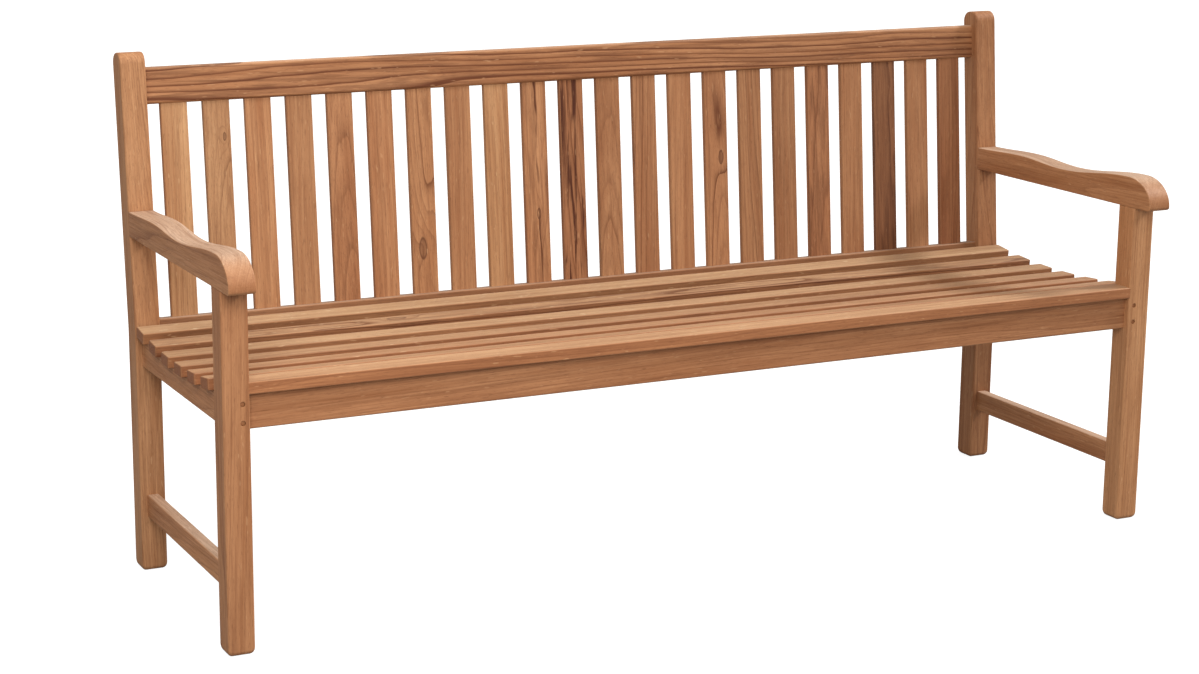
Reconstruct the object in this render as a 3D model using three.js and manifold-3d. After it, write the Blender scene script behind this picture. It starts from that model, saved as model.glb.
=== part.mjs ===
// A three-seat garden bench in solid hardwood. Four square legs, the rear pair leaning back above
// the seat, are joined by mortised rails. The seat is dished, with slats laid along the bench, and
// the back is a row of upright slats held between two rails. Nothing on it moves.
//
// Millimetres, +Z up, +X along the bench, the sitter faces -Y. While it is worked out, y = 0 is the
// front face of the front legs, and the whole bench is centred on the origin at the end.
import * as THREE from "three";
import { mergeVertices } from "three/addons/utils/BufferGeometryUtils.js";
import Module from "manifold-3d";

const wasm = await Module();
wasm.setup();

// ---------------------------------------------------------------------------------------------
// Driving dimensions
// ---------------------------------------------------------------------------------------------

const LENGTH = 1800;                // over the outer faces of the legs
const FOOTPRINT = 520;              // front leg's front face to rear leg's rear face, on the ground
const HEIGHT = 910;                 // ground to the top of the rear legs
const LEG = 45;                     // square section of every leg, and the width of the armrests
const FOOT_CHAMFER = 6;             // taken off the bottom edges of the legs
const FIT = 0.3;                    // clearance round every tenon, peg and shoulder
const EASE = 3;                     // taken off the long edges of the boards
const WEB = 3;                      // wood left between two mortises in one leg
const REAR_WEB = 7.5;               // the same in the rear legs, where the back's tenons lean in

const BEND_HEIGHT = 433;            // where the rear legs start to lean back
const LEAN = Math.atan(0.09);       // how far they lean
const LEG_TOP_RADIUS = 19;          // rounding of the rear legs' tops, front and back

const ARM_UNDERSIDE = 598;          // ground to the flat underside of the armrests
const ARM_OVERHANG = 43;            // the scrolled nose in front of the front legs
const ARM_NOSE_DROP = 50;           // height of the nose's curve
const ARM_CREST_HEIGHT = 654;       // highest point, above the front legs
const ARM_CREST_FROM_FRONT = 22;
const ARM_DIP_HEIGHT = 638.5;       // where the forearm lies
const ARM_DIP_FROM_FRONT = 222;
const ARM_REAR_CREST_HEIGHT = 645.5;
const ARM_REAR_CREST_FROM_LEG = 120;
const ARM_END_HEIGHT = 641;         // where the armrest meets the rear leg

const RAIL_THICK = 21;              // apron, side rails, bearers and stretchers
const RAIL_TENON_THICK = 10;
const RAIL_TENON_LENGTH = 25;       // tenons of the long rails
const TENON_SHOULDER = 7;           // step above and below a tenon
const APRON_BOTTOM = 370;
const SIDE_RAIL_BOTTOM = 370;
const STRETCHER_BOTTOM = 99;
const STRETCHER_HEIGHT = 40;

const SEAT_FRONT_HEIGHT = 449;      // top of the front slat, which lies between the front legs
const FRONT_SLAT_WIDTH = 46;
const SEAT_SLATS = 6;               // slats behind the front one, which run past the side rails
const SEAT_SLAT_WIDTH = 40;
const SEAT_SLAT_THICK = 20;
const SEAT_SLAT_INSET = 1;          // slat ends stop this far inside the legs' outer faces
const DISH_RADIUS = 1430;           // curve of the seat, front to back
const DISH_LOW_HEIGHT = 429.5;
const DISH_LOW_FROM_FRONT = 268;
const BEARER_FROM_MIDDLE = 285;     // the two bearers between the end frames
const BEARER_BOTTOM = 390;
const BEARER_TENON_LENGTH = 10;
const BEARER_TENON_HEIGHT = 20;

const BACK_SLATS = 22;
const BACK_SLAT_WIDTH = 48;
const BACK_SLAT_THICK = 12;
const BACK_SLAT_SETBACK = 21;       // behind the front face of the rear legs
const BACK_SLAT_TENON_LENGTH = 15;
const BACK_SLAT_TENON_THICK = 8;
const BACK_SLAT_SHOULDER = 5;       // step at each side of a back slat's tenon
const TOP_RAIL_THICK = 22;
const TOP_RAIL_HEIGHT = 64;
const TOP_RAIL_SETBACK = 17;
const TOP_RAIL_DROP = 27;           // below the top of the rear legs, measured along them
const LOWER_RAIL_THICK = 25;
const LOWER_RAIL_HEIGHT = 58;
const LOWER_RAIL_SETBACK = 11;
const LOWER_RAIL_RISE = 18;         // its top above the bend, measured along the leaning legs

const PEG_RADIUS = 4;
const PEG_RECESS = 1;               // pegs stand this far below the surface
const PEG_SPACING = 31;             // between the two pegs of one joint
const PEG_FROM_INSIDE = 12;         // from the inner face of the leg to the pegs' centres
const PEG_SIDES = 20;
const CURVE_SEGMENTS = 12;

// ---------------------------------------------------------------------------------------------
// Places worked out from them
// ---------------------------------------------------------------------------------------------

const legInner = LENGTH / 2 - LEG;
const legMiddle = LENGTH / 2 - LEG / 2;
const rearLegFront = FOOTPRINT - LEG;
const frontSlatBottom = SEAT_FRONT_HEIGHT - SEAT_SLAT_THICK;
const apronTop = frontSlatBottom - FIT;
const apronFront = (LEG - RAIL_THICK) / 2;
const apronBack = apronFront + RAIL_THICK;
const sideTenonLength = (LEG - RAIL_TENON_THICK) / 2 - WEB;
const dishCentreHeight = DISH_LOW_HEIGHT + DISH_RADIUS;
const bearingRadius = Math.hypot(DISH_RADIUS + SEAT_SLAT_THICK, SEAT_SLAT_WIDTH / 2) + FIT;

// The back is drawn in a frame of its own, which leans with the rear legs: its origin is at the
// bend, y runs in from their front face and z runs up along them.
const backFrame = new THREE.Matrix4()
  .makeRotationX(-LEAN)
  .setPosition(0, rearLegFront, BEND_HEIGHT);
const intoBackFrame = backFrame.clone().invert();
const topCentreHeight = HEIGHT - LEG_TOP_RADIUS;
const rearLegRise = LEG_TOP_RADIUS
  + (topCentreHeight - BEND_HEIGHT + LEG_TOP_RADIUS * Math.sin(LEAN)) / Math.cos(LEAN);
const topRailTop = rearLegRise - TOP_RAIL_DROP;
const topRailBottom = topRailTop - TOP_RAIL_HEIGHT;
const lowerRailTop = LOWER_RAIL_RISE;
const lowerRailBottom = lowerRailTop - LOWER_RAIL_HEIGHT;
const backSlatMiddle = BACK_SLAT_SETBACK + BACK_SLAT_THICK / 2;
const rearTenonLength = backSlatMiddle - RAIL_TENON_THICK / 2 - REAR_WEB;
const backSlatGap = (2 * legInner - BACK_SLATS * BACK_SLAT_WIDTH) / (BACK_SLATS + 1);

// Distance from the bench's front to the plane that lies `setback` behind the rear legs' front face.
function leaningPlane(setback, height) {
  const rise = height - BEND_HEIGHT + setback * Math.sin(LEAN);
  return rearLegFront + setback * Math.cos(LEAN) + rise * Math.tan(LEAN);
}

// ---------------------------------------------------------------------------------------------
// Solids
// ---------------------------------------------------------------------------------------------

// A box is kept as three [low, high] ranges, so a mortise is its tenon's box, grown by the fit.
function block({ x, y, z }) {
  const geometry = new THREE.BoxGeometry(x[1] - x[0], y[1] - y[0], z[1] - z[0]);
  geometry.translate((x[0] + x[1]) / 2, (y[0] + y[1]) / 2, (z[0] + z[1]) / 2);
  return geometry;
}

function grown({ x, y, z }, by) {
  return {
    x: [x[0] - by, x[1] + by],
    y: [y[0] - by, y[1] + by],
    z: [z[0] - by, z[1] + by],
  };
}

function centred(middle, size) {
  return [middle - size / 2, middle + size / 2];
}

// The same range on the left side of the bench (side -1) or the right (side 1).
function onSide(side, from, to) {
  return [side * from, side * to].sort((a, b) => a - b);
}

// An outline drawn as (y, z), carried along x from one end of the range to the other.
function alongX(outline, x) {
  const geometry = new THREE.ExtrudeGeometry(outline, {
    depth: x[1] - x[0],
    bevelEnabled: false,
    curveSegments: CURVE_SEGMENTS,
  });
  const turn = new THREE.Matrix4().makeBasis(
    new THREE.Vector3(0, 1, 0),
    new THREE.Vector3(0, 0, 1),
    new THREE.Vector3(1, 0, 0),
  );
  geometry.applyMatrix4(turn);
  geometry.translate(x[0], 0, 0);
  return geometry;
}

// An outline drawn as (x, z), carried along y.
function alongY(outline, y) {
  const geometry = new THREE.ExtrudeGeometry(outline, { depth: y[1] - y[0], bevelEnabled: false });
  geometry.rotateX(Math.PI / 2);
  geometry.translate(0, y[1], 0);
  return geometry;
}

// A rectangle with its corners taken off by `ease`.
function easedRectangle([left, right], [low, high], ease) {
  return new THREE.Shape([
    new THREE.Vector2(left + ease, low),
    new THREE.Vector2(right - ease, low),
    new THREE.Vector2(right, low + ease),
    new THREE.Vector2(right, high - ease),
    new THREE.Vector2(right - ease, high),
    new THREE.Vector2(left + ease, high),
    new THREE.Vector2(left, high - ease),
    new THREE.Vector2(left, low + ease),
  ]);
}

function solidOf(geometry) {
  const bare = geometry.clone();
  bare.deleteAttribute("normal");
  bare.deleteAttribute("uv");
  const merged = mergeVertices(bare);
  const vertProperties = new Float32Array(merged.attributes.position.array);
  const triVerts = new Uint32Array(merged.index.array);
  return new wasm.Manifold(new wasm.Mesh({ numProp: 3, vertProperties, triVerts }));
}

function geometryOf(solid) {
  const { vertProperties, triVerts } = solid.getMesh();
  const geometry = new THREE.BufferGeometry();
  geometry.setAttribute("position", new THREE.BufferAttribute(vertProperties, 3));
  geometry.setIndex(new THREE.BufferAttribute(triVerts, 1));
  geometry.computeVertexNormals();
  return geometry;
}

// A board with its tenons joined on and its mortises and peg holes cut.
function worked(body, tenons, cuts) {
  let solid = solidOf(body);
  for (const tenon of tenons) solid = solid.add(solidOf(tenon));
  for (const cutter of cuts) solid = solid.subtract(solidOf(cutter));
  return geometryOf(solid);
}

// ---------------------------------------------------------------------------------------------
// Joints, each written once and used by both of its pieces
// ---------------------------------------------------------------------------------------------

// Tenon of the front apron, in the middle of the front leg.
function apronTenon(side) {
  return {
    x: onSide(side, legInner - EASE, legInner + RAIL_TENON_LENGTH),
    y: centred(LEG / 2, RAIL_TENON_THICK),
    z: [APRON_BOTTOM + TENON_SHOULDER, apronTop - TENON_SHOULDER],
  };
}

// Tenons of a board that runs from the front leg to the rear leg.
function sideTenons(side, z) {
  const x = centred(side * legMiddle, RAIL_TENON_THICK);
  return [
    { x, y: [LEG - sideTenonLength, LEG + TENON_SHOULDER], z },
    { x, y: [rearLegFront - TENON_SHOULDER, rearLegFront + rearTenonLength], z },
  ];
}

function sideRailTenons(side) {
  const lowestTop = dishCentreHeight - bearingRadius;
  return sideTenons(side, [SIDE_RAIL_BOTTOM + TENON_SHOULDER, lowestTop - TENON_SHOULDER]);
}

function stretcherTenons(side) {
  const top = STRETCHER_BOTTOM + STRETCHER_HEIGHT;
  return sideTenons(side, [STRETCHER_BOTTOM + TENON_SHOULDER, top - TENON_SHOULDER]);
}

// Stub tenon on top of the front leg, let into the underside of the armrest.
function legTopTenon(side) {
  return {
    x: centred(side * legMiddle, RAIL_THICK),
    y: centred(LEG / 2, RAIL_THICK),
    z: [ARM_UNDERSIDE - EASE, ARM_UNDERSIDE + RAIL_TENON_LENGTH],
  };
}

// Tenon at the rear end of the armrest, let into the front face of the rear leg.
function armTenon(side) {
  const face = leaningPlane(0, ARM_UNDERSIDE);
  return {
    x: centred(side * legMiddle, RAIL_THICK),
    y: [face - TENON_SHOULDER, face + rearTenonLength + WEB],
    z: [ARM_UNDERSIDE + TENON_SHOULDER, ARM_END_HEIGHT - TENON_SHOULDER],
  };
}

// Tenon of a back rail, drawn in the back's frame.
function backRailTenon(side, low, high) {
  return {
    x: onSide(side, legInner - EASE, legInner + RAIL_TENON_LENGTH),
    y: centred(backSlatMiddle, RAIL_TENON_THICK),
    z: [low + TENON_SHOULDER, high - TENON_SHOULDER],
  };
}

const topRailTenon = (side) => backRailTenon(side, topRailBottom, topRailTop);
const lowerRailTenon = (side) => backRailTenon(side, lowerRailBottom, lowerRailTop);

// Tenons of a bearer: into the back of the apron and into the front of the lower back rail.
function bearerTenons(side) {
  const x = centred(side * BEARER_FROM_MIDDLE, RAIL_TENON_THICK);
  const z = [BEARER_BOTTOM + TENON_SHOULDER, BEARER_BOTTOM + TENON_SHOULDER + BEARER_TENON_HEIGHT];
  const railFace = leaningPlane(LOWER_RAIL_SETBACK, BEARER_BOTTOM);
  return [
    { x, y: [apronBack - BEARER_TENON_LENGTH, apronBack + TENON_SHOULDER], z },
    { x, y: [railFace - TENON_SHOULDER, railFace + BEARER_TENON_LENGTH], z },
  ];
}

// Tenon of a back slat, about the slat's own middle line, in the back's frame.
function backSlatTenon(x, z) {
  return {
    x: centred(x, BACK_SLAT_WIDTH - 2 * BACK_SLAT_SHOULDER),
    y: centred(backSlatMiddle, BACK_SLAT_TENON_THICK),
    z,
  };
}

const backSlatFoot = [lowerRailTop - BACK_SLAT_TENON_LENGTH, lowerRailTop + EASE];
const backSlatHead = [topRailBottom - EASE, topRailBottom + BACK_SLAT_TENON_LENGTH];

// Left edge of the first slat is one gap in from the left leg.
function backSlatX(index) {
  return -legInner + backSlatGap + BACK_SLAT_WIDTH / 2 + index * (BACK_SLAT_WIDTH + backSlatGap);
}

const backSlatPlaces = Array.from({ length: BACK_SLATS }, (_, index) => backSlatX(index));

// A round peg or its hole, pushed along y from `from` to `to`.
function peg(x, z, from, to, radius) {
  const geometry = new THREE.CylinderGeometry(radius, radius, to - from, PEG_SIDES);
  geometry.translate(x, (from + to) / 2, z);
  return geometry;
}

// Each pinned joint: the frame it is drawn in, the pegs' heights, and the face that they enter by.
const frontPegDepth = (LEG + RAIL_TENON_THICK) / 2;
const rearPegDepth = LEG - backSlatMiddle + RAIL_TENON_THICK / 2;
const joints = {
  apron: { middle: (APRON_BOTTOM + apronTop) / 2, from: 0, to: frontPegDepth },
  lower_rail: { middle: (lowerRailBottom + lowerRailTop) / 2, from: LEG, to: LEG - rearPegDepth },
  top_rail: { middle: (topRailBottom + topRailTop) / 2, from: LEG, to: LEG - rearPegDepth },
};
const pegRows = { upper: PEG_SPACING / 2, lower: -PEG_SPACING / 2 };

function pegSolid(side, joint, row) {
  const inwards = Math.sign(joint.to - joint.from);
  const ends = [joint.from + inwards * PEG_RECESS, joint.to - inwards * FIT].sort((a, b) => a - b);
  const x = side * (legInner + PEG_FROM_INSIDE);
  return peg(x, joint.middle + row, ends[0], ends[1], PEG_RADIUS);
}

function pegHole(side, joint, row) {
  const inwards = Math.sign(joint.to - joint.from);
  const ends = [joint.from - inwards * EASE, joint.to + inwards * FIT].sort((a, b) => a - b);
  const x = side * (legInner + PEG_FROM_INSIDE);
  return peg(x, joint.middle + row, ends[0], ends[1], PEG_RADIUS + FIT);
}

function pegHoles(side, joint) {
  return Object.values(pegRows).map((row) => pegHole(side, joint, row));
}

const mortise = (box) => block(grown(box, FIT));
const leaning = (geometry) => geometry.applyMatrix4(backFrame);

// ---------------------------------------------------------------------------------------------
// The pieces
// ---------------------------------------------------------------------------------------------

const bench = new THREE.Group();
const back = new THREE.Group();
back.applyMatrix4(backFrame);
bench.add(back);

const TEAK = {
  frame: { color: 0xb5784d, roughness: 0.62 },
  seat: { color: 0xcf9e72, roughness: 0.66 },
  back: { color: 0xab7148, roughness: 0.6 },
  peg: { color: 0x8e5a35, roughness: 0.7 },
};

function addPiece(group, name, geometry, teak) {
  const mesh = new THREE.Mesh(geometry, new THREE.MeshStandardMaterial({ ...teak, metalness: 0 }));
  mesh.name = name;
  group.add(mesh);
  return mesh;
}

// A leg's outline across the bench, (x, z), with its foot chamfered.
function legAcross(side, top) {
  const [inner, outer] = onSide(side, legInner, LENGTH / 2);
  return new THREE.Shape([
    new THREE.Vector2(inner, FOOT_CHAMFER),
    new THREE.Vector2(inner + FOOT_CHAMFER, 0),
    new THREE.Vector2(outer - FOOT_CHAMFER, 0),
    new THREE.Vector2(outer, FOOT_CHAMFER),
    new THREE.Vector2(outer, top),
    new THREE.Vector2(inner, top),
  ]);
}

function frontLeg(side) {
  const top = ARM_UNDERSIDE - FIT;
  const profile = new THREE.Shape([
    new THREE.Vector2(FOOT_CHAMFER, 0),
    new THREE.Vector2(LEG - FOOT_CHAMFER, 0),
    new THREE.Vector2(LEG, FOOT_CHAMFER),
    new THREE.Vector2(LEG, top),
    new THREE.Vector2(0, top),
    new THREE.Vector2(0, FOOT_CHAMFER),
  ]);
  const post = solidOf(alongX(profile, onSide(side, legInner, LENGTH / 2)))
    .intersect(solidOf(alongY(legAcross(side, top + LEG), [-LEG, 2 * LEG])));
  const cuts = [
    mortise(apronTenon(side)),
    mortise(sideRailTenons(side)[0]),
    mortise(stretcherTenons(side)[0]),
    ...pegHoles(side, joints.apron),
  ];
  return worked(geometryOf(post), [block(legTopTenon(side))], cuts);
}

// The rear leg is upright to the bend and leans back above it, with a rounded top.
function rearLeg(side) {
  const rearBend = BEND_HEIGHT - LEG * Math.tan(LEAN / 2);
  const place = (y, z) => new THREE.Vector3(0, y, z).applyMatrix4(backFrame);
  const radius = LEG_TOP_RADIUS;
  const frontCentre = place(radius, rearLegRise - radius);
  const rearCentre = place(LEG - radius, rearLegRise - radius);
  const profile = new THREE.Shape();
  profile.moveTo(rearLegFront + FOOT_CHAMFER, 0);
  profile.lineTo(FOOTPRINT - FOOT_CHAMFER, 0);
  profile.lineTo(FOOTPRINT, FOOT_CHAMFER);
  profile.lineTo(FOOTPRINT, rearBend);
  profile.absarc(rearCentre.y, rearCentre.z, radius, -LEAN, Math.PI / 2 - LEAN, false);
  profile.absarc(frontCentre.y, frontCentre.z, radius, Math.PI / 2 - LEAN, Math.PI - LEAN, false);
  profile.lineTo(rearLegFront, BEND_HEIGHT);
  profile.lineTo(rearLegFront, FOOT_CHAMFER);
  const post = solidOf(alongX(profile, onSide(side, legInner, LENGTH / 2)))
    .intersect(solidOf(alongY(legAcross(side, HEIGHT + LEG), [0, 2 * FOOTPRINT])));
  const cuts = [
    mortise(sideRailTenons(side)[1]),
    mortise(stretcherTenons(side)[1]),
    mortise(armTenon(side)),
    leaning(mortise(topRailTenon(side))),
    leaning(mortise(lowerRailTenon(side))),
    ...pegHoles(side, joints.top_rail).map(leaning),
    ...pegHoles(side, joints.lower_rail).map(leaning),
  ];
  return worked(geometryOf(post), [], cuts);
}

// The armrest is flat below. Its top dips for the forearm and rolls over into a nose at the front.
function armrest(side) {
  const softness = 0.38;
  const crestY = ARM_CREST_FROM_FRONT;
  const dipY = ARM_DIP_FROM_FRONT;
  const rearCrestY = rearLegFront - ARM_REAR_CREST_FROM_LEG;
  const noseHeight = ARM_CREST_HEIGHT - ARM_NOSE_DROP;
  const endBottom = leaningPlane(0, ARM_UNDERSIDE) - FIT;
  const endTop = leaningPlane(0, ARM_END_HEIGHT) - FIT;
  const outline = new THREE.Shape();
  const swell = (fromY, fromZ, toY, toZ) => {
    const handle = softness * (toY - fromY);
    outline.bezierCurveTo(fromY + handle, fromZ, toY - handle, toZ, toY, toZ);
  };
  outline.moveTo(endBottom, ARM_UNDERSIDE);
  outline.lineTo(endTop, ARM_END_HEIGHT);
  swell(endTop, ARM_END_HEIGHT, rearCrestY, ARM_REAR_CREST_HEIGHT);
  swell(rearCrestY, ARM_REAR_CREST_HEIGHT, dipY, ARM_DIP_HEIGHT);
  swell(dipY, ARM_DIP_HEIGHT, crestY, ARM_CREST_HEIGHT);
  outline.absellipse(
    crestY, noseHeight, crestY + ARM_OVERHANG, ARM_NOSE_DROP, Math.PI / 2, Math.PI, false,
  );
  outline.lineTo(-ARM_OVERHANG + EASE, ARM_UNDERSIDE);
  const body = alongX(outline, onSide(side, legInner, LENGTH / 2));
  return worked(body, [block(armTenon(side))], [mortise(legTopTenon(side))]);
}

// A board from front to back whose top follows the seat's dish, from y = front to y = back(z).
function dishedBoard(x, front, bottom, back) {
  const angleAt = (y) => Math.asin((y - DISH_LOW_FROM_FRONT) / bearingRadius) - Math.PI / 2;
  const heightAt = (y) => dishCentreHeight + bearingRadius * Math.sin(angleAt(y));
  const backTop = back(heightAt(back(bottom)));
  const outline = new THREE.Shape();
  outline.moveTo(back(bottom), bottom);
  outline.lineTo(front, bottom);
  outline.absarc(
    DISH_LOW_FROM_FRONT, dishCentreHeight, bearingRadius, angleAt(front), angleAt(backTop), false,
  );
  return alongX(outline, x);
}

function sideRail(side) {
  const x = centred(side * legMiddle, RAIL_THICK);
  const body = dishedBoard(x, LEG + FIT, SIDE_RAIL_BOTTOM, () => rearLegFront - FIT);
  return worked(body, sideRailTenons(side).map(block), []);
}

function bearer(side) {
  const x = centred(side * BEARER_FROM_MIDDLE, RAIL_THICK);
  const back = (height) => leaningPlane(LOWER_RAIL_SETBACK, height) - FIT;
  const body = dishedBoard(x, apronBack + FIT, BEARER_BOTTOM, back);
  return worked(body, bearerTenons(side).map(block), []);
}

function stretcher(side) {
  const section = easedRectangle(
    centred(side * legMiddle, RAIL_THICK),
    [STRETCHER_BOTTOM, STRETCHER_BOTTOM + STRETCHER_HEIGHT],
    EASE,
  );
  const body = alongY(section, [LEG + FIT, rearLegFront - FIT]);
  return worked(body, stretcherTenons(side).map(block), []);
}

for (const [hand, side] of [["left", -1], ["right", 1]]) {
  addPiece(bench, `${hand}_front_leg`, frontLeg(side), TEAK.frame);
  addPiece(bench, `${hand}_rear_leg`, rearLeg(side), TEAK.frame);
  addPiece(bench, `${hand}_armrest`, armrest(side), TEAK.frame);
  addPiece(bench, `${hand}_side_rail`, sideRail(side), TEAK.frame);
  addPiece(bench, `${hand}_stretcher`, stretcher(side), TEAK.frame);
  addPiece(bench, `${hand}_seat_bearer`, bearer(side), TEAK.frame);
  for (const [row, offset] of Object.entries(pegRows)) {
    addPiece(bench, `${hand}_apron_peg_${row}`, pegSolid(side, joints.apron, offset), TEAK.peg);
    for (const joint of ["lower_rail", "top_rail"]) {
      addPiece(back, `${hand}_${joint}_peg_${row}`, pegSolid(side, joints[joint], offset), TEAK.peg);
    }
  }
}

const SIDES = [-1, 1];
const betweenLegs = [-legInner + FIT, legInner - FIT];

function frontApron() {
  const section = easedRectangle([apronFront, apronBack], [APRON_BOTTOM, apronTop], EASE);
  const tenons = SIDES.map((side) => block(apronTenon(side)));
  const cuts = SIDES.flatMap((side) => [
    mortise(bearerTenons(side)[0]),
    ...pegHoles(side, joints.apron),
  ]);
  return worked(alongX(section, betweenLegs), tenons, cuts);
}

addPiece(bench, "front_apron", frontApron(), TEAK.frame);

// The two back rails are drawn in the back's frame, with a mortise for each back slat.
function backRail(setback, thick, low, high, tenonAt, slatEnd, joint, otherCuts) {
  const section = easedRectangle([setback, setback + thick], [low, high], EASE);
  const tenons = SIDES.map((side) => block(tenonAt(side)));
  const cuts = [
    ...backSlatPlaces.map((x) => mortise(backSlatTenon(x, slatEnd))),
    ...SIDES.flatMap((side) => pegHoles(side, joint)),
    ...otherCuts,
  ];
  return worked(alongX(section, betweenLegs), tenons, cuts);
}

const topRail = backRail(
  TOP_RAIL_SETBACK, TOP_RAIL_THICK, topRailBottom, topRailTop,
  topRailTenon, backSlatHead, joints.top_rail, [],
);
const bearerMortises = SIDES.map((side) => mortise(bearerTenons(side)[1]).applyMatrix4(intoBackFrame));
const lowerRail = backRail(
  LOWER_RAIL_SETBACK, LOWER_RAIL_THICK, lowerRailBottom, lowerRailTop,
  lowerRailTenon, backSlatFoot, joints.lower_rail, bearerMortises,
);
addPiece(back, "top_back_rail", topRail, TEAK.frame);
addPiece(back, "lower_back_rail", lowerRail, TEAK.frame);

// One back slat, about x = 0, with a tenon at each end.
function backSlat() {
  const width = centred(0, BACK_SLAT_WIDTH);
  const section = easedRectangle(width, centred(0, BACK_SLAT_THICK), EASE);
  const low = lowerRailTop + FIT;
  const body = new THREE.ExtrudeGeometry(section, {
    depth: topRailBottom - FIT - low,
    bevelEnabled: false,
  });
  body.translate(0, backSlatMiddle, low);
  return worked(body, [backSlatFoot, backSlatHead].map((z) => block(backSlatTenon(0, z))), []);
}

const backSlatGeometry = backSlat();
backSlatPlaces.forEach((x, index) => {
  const name = `back_slat_${String(index + 1).padStart(2, "0")}`;
  const slat = addPiece(back, name, backSlatGeometry, TEAK.back);
  slat.position.x = x;
});

// The front slat lies on the apron, between the front legs and flush with their front faces.
const frontSlatSection = easedRectangle(
  [0, FRONT_SLAT_WIDTH], [frontSlatBottom, SEAT_FRONT_HEIGHT], EASE,
);
addPiece(bench, "front_seat_slat", alongX(frontSlatSection, betweenLegs), TEAK.seat);

// The other slats lie on the side rails and bearers, each turned to the dish where it lies. Their
// own middle is the middle of the top face.
const seatSlatSection = easedRectangle(
  centred(0, SEAT_SLAT_WIDTH), [-SEAT_SLAT_THICK, 0], EASE,
);
const seatSlatEnd = LENGTH / 2 - SEAT_SLAT_INSET;
const seatSlatGeometry = alongX(seatSlatSection, [-seatSlatEnd, seatSlatEnd]);
// The dish turns the rearmost slat's lower edge towards the rear legs.
const seatTurn = SEAT_SLAT_THICK * (rearLegFront - DISH_LOW_FROM_FRONT) / DISH_RADIUS;
const seatRun = rearLegFront - seatTurn - FIT - FRONT_SLAT_WIDTH;
const seatGap = (seatRun - SEAT_SLATS * SEAT_SLAT_WIDTH) / SEAT_SLATS;
for (let index = 0; index < SEAT_SLATS; index += 1) {
  const y = FRONT_SLAT_WIDTH + (index + 1) * seatGap + (index + 0.5) * SEAT_SLAT_WIDTH;
  const tilt = Math.asin((y - DISH_LOW_FROM_FRONT) / DISH_RADIUS);
  const slat = addPiece(bench, `seat_slat_${index + 1}`, seatSlatGeometry, TEAK.seat);
  slat.position.set(0, y, dishCentreHeight - DISH_RADIUS * Math.cos(tilt));
  slat.rotation.x = tilt;
}

// Centre the bench over its origin.
bench.updateMatrixWorld(true);
const overall = new THREE.Box3().setFromObject(bench, true);
bench.position.y = -(overall.min.y + overall.max.y) / 2;

export default bench;
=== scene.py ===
import math

import bpy
import numpy as np
from mathutils import Matrix, Vector


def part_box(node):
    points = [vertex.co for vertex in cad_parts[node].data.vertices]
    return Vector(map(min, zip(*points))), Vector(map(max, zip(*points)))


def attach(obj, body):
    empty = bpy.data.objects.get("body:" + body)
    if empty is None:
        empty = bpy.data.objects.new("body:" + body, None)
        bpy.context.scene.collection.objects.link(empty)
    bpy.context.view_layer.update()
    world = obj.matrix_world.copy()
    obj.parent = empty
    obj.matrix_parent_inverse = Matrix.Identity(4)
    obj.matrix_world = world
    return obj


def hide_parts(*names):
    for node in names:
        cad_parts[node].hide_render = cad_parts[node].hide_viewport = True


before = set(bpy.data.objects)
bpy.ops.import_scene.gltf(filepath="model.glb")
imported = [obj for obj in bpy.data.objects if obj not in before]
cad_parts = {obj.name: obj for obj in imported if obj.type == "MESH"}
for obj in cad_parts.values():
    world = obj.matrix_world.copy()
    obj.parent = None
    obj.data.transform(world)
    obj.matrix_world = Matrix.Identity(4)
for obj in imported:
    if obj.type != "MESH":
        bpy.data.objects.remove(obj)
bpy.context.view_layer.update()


# --- Front legs ------------------------------------------------------------------------------
# Two upright posts of planed teak, square in section. Their long edges are eased with a router
# and their feet rounded over, and a stub tenon on top holds the armrest.

LEG_EASE = 0.0028
FOOT_ROUND = 0.008
SUPPORT = 0.0004                               # a narrow strip that keeps a face flat beside a round


def rounding(depth, radius):
    """How far a side stands back at a depth below the face beside it, where a quarter round joins
    the two: the radius, less the height of the circle at that depth."""
    below = np.clip(radius - depth, 0.0, radius)
    return radius - np.sqrt(radius**2 - below**2)


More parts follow.
